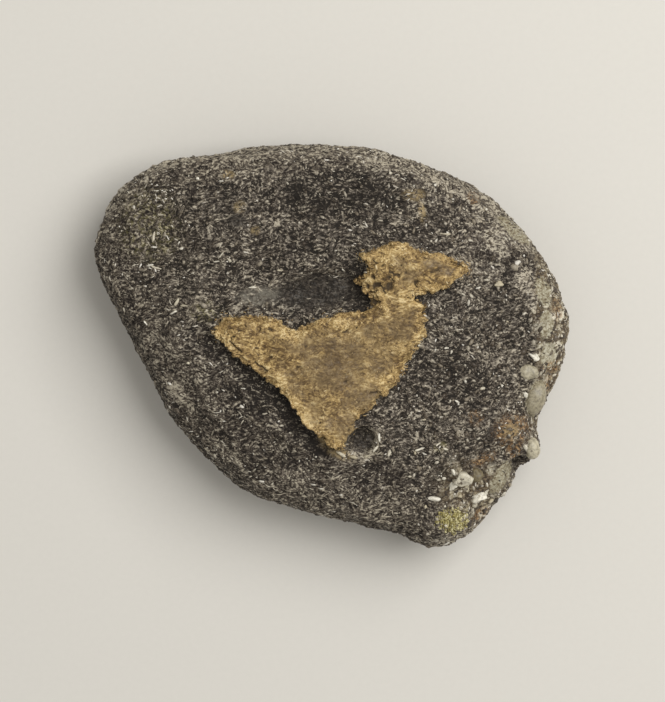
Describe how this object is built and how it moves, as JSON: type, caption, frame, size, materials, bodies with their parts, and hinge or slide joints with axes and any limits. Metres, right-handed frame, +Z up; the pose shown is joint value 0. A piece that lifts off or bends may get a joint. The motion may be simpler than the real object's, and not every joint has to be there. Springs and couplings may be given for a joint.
{
  "type": "fossil turtle bone",
  "caption": "Worn slab of dark spongy fossil turtle bone, with a ragged crust of tan sediment on its top and sand, pebbles and crystals cemented in its right edge.",
  "frame": {"origin": "on the resting face, below the middle of the box", "axes": "+X along the slab's length, towards its gritty end, +Y towards its straighter long side, and +Z up from the resting face, through the thickness"},
  "size_m": [0.0392, 0.0336, 0.0116],
  "materials": {
    "bone": "dark brown-grey mineralised spongy bone, matt and finely granular, paler and gritty at its right rim, with a golden-tan sandy crust on the top"
  },
  "bodies": {
    "root": {"turtle_bone": "bone"}
  },
  "joints": []
}
